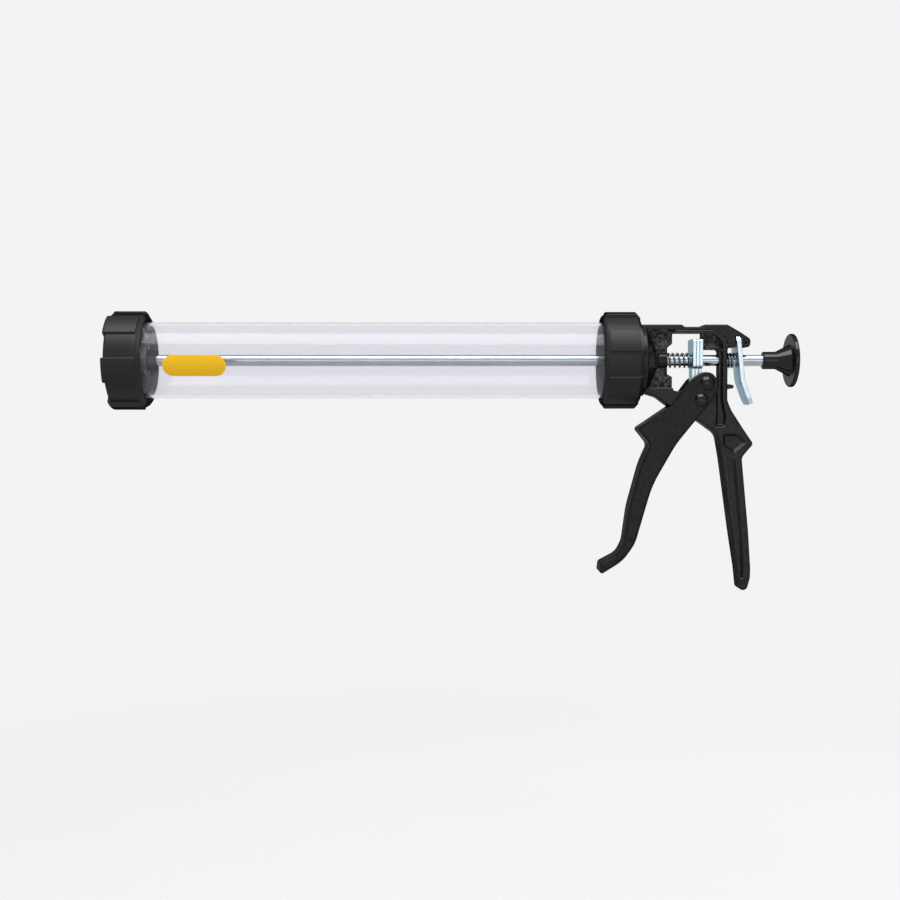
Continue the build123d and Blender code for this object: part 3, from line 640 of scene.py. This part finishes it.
shader = node(
    tree, "ShaderNodeBsdfPrincipled",
    {
        "Base Color": tone.outputs[2], "Roughness": gloss.outputs["Result"],
        "Normal": relief.outputs["Normal"], "Specular IOR Level": shine.outputs["Result"], "IOR": 1.53,
    },
)
node(tree, "ShaderNodeOutputMaterial", {"Surface": shader.outputs["BSDF"]})
dress(nylon, "front_cap", "rear_collar")


# Floor, light and camera
# A pale painted floor lies well below the gun, under soft studio light from above and in front.
# The floor and the surroundings show the same pale grey to the eye, to metal and to the clear tube.
pale = linear("#f3f3f3")
floor_height = -0.42
below_gun = (0.24, 0.0, floor_height)
floor_reach = 4.0
mesh = bmesh.new()
bmesh.ops.create_grid(
    mesh, x_segments=1, y_segments=1, size=floor_reach, matrix=Matrix.Translation(below_gun),
)
data = bpy.data.meshes.new("studio_floor")
mesh.to_mesh(data)
mesh.free()
floor = bpy.data.objects.new("studio_floor", data)
bpy.context.scene.collection.objects.link(floor)


def seen_directly(tree):
    path = node(tree, "ShaderNodeLightPath")
    seen = node(
        tree, "ShaderNodeMath",
        {0: path.outputs["Is Camera Ray"], 1: path.outputs["Is Glossy Ray"]}, operation="MAXIMUM",
    )
    seen = node(
        tree, "ShaderNodeMath",
        {0: seen.outputs["Value"], 1: path.outputs["Is Transmission Ray"]}, operation="MAXIMUM",
    )
    return seen.outputs["Value"]


# Matt painted board: takes the gun's soft shadow below it and fades to the even pale grey farther out.
board = blank_material("matt_painted_board")
tree = board.node_tree
paint = node(tree, "ShaderNodeBsdfDiffuse", {"Color": linear("#d3d3d3")})
glow = node(tree, "ShaderNodeEmission", {"Color": pale, "Strength": 1.0})
place = node(tree, "ShaderNodeTexCoord").outputs["Object"]
away = node(tree, "ShaderNodeVectorMath", {0: place, 1: below_gun}, operation="DISTANCE")
shadow_reach = 0.35
even_reach = 1.0
fade = node(
    tree, "ShaderNodeMapRange",
    {
        "Value": away.outputs["Value"], "From Min": shadow_reach, "From Max": even_reach,
        "To Min": 0.7, "To Max": 1.0,
    },
    interpolation_type="SMOOTHSTEP",
)
share = node(
    tree, "ShaderNodeMath", {0: seen_directly(tree), 1: fade.outputs["Result"]}, operation="MULTIPLY",
)
both = node(
    tree, "ShaderNodeMixShader",
    {0: share.outputs["Value"], 1: paint.outputs["BSDF"], 2: glow.outputs["Emission"]},
)
node(tree, "ShaderNodeOutputMaterial", {"Surface": both.outputs["Shader"]})
floor.data.materials.append(board)

world = bpy.data.worlds.new("studio")
world.use_nodes = True
bpy.context.scene.world = world
tree = world.node_tree
tree.nodes.clear()
air = node(tree, "ShaderNodeBackground", {"Color": linear("#ffffff"), "Strength": 0.45})
backdrop = node(tree, "ShaderNodeBackground", {"Color": pale, "Strength": 1.0})
both = node(
    tree, "ShaderNodeMixShader",
    {0: seen_directly(tree), 1: air.outputs["Background"], 2: backdrop.outputs["Background"]},
)
node(tree, "ShaderNodeOutputWorld", {"Surface": both.outputs["Shader"]})


def softbox(name, place, target, width, height, watts):
    lamp = bpy.data.lights.new(name, "AREA")
    lamp.shape = "RECTANGLE"
    lamp.size = width
    lamp.size_y = height
    lamp.energy = watts
    hung = bpy.data.objects.new(name, lamp)
    hung.location = place
    hung.rotation_euler = (Vector(target) - Vector(place)).to_track_quat("-Z", "Y").to_euler()
    bpy.context.scene.collection.objects.link(hung)


softbox(
    "overhead_softbox", place=(0.2, -0.5, 1.2), target=(0.24, 0, 0), width=1.4, height=0.9, watts=30,
)
softbox(
    "front_softbox", place=(0.3, -1.6, -0.05), target=(0.3, 0, -0.05), width=1.5, height=0.75, watts=4.2,
)
softbox(
    "rear_softbox", place=(1.1, 0.35, 0.45), target=(0.42, 0, 0), width=0.5, height=0.5, watts=6,
)

# The camera stands where the photograph was taken from, a little above the grip and tilted down.
tilt_down = 1.862
eye = bpy.data.cameras.new("photo_camera")
eye.lens = 49.24
eye.sensor_width = 36
camera = bpy.data.objects.new("photo_camera", eye)
camera.location = (0.2388, -0.875, -0.0351)
camera.rotation_euler = (radians(90 - tilt_down), 0, 0)
bpy.context.scene.collection.objects.link(camera)
bpy.context.scene.camera = camera
bpy.context.scene.view_settings.view_transform = "Standard"
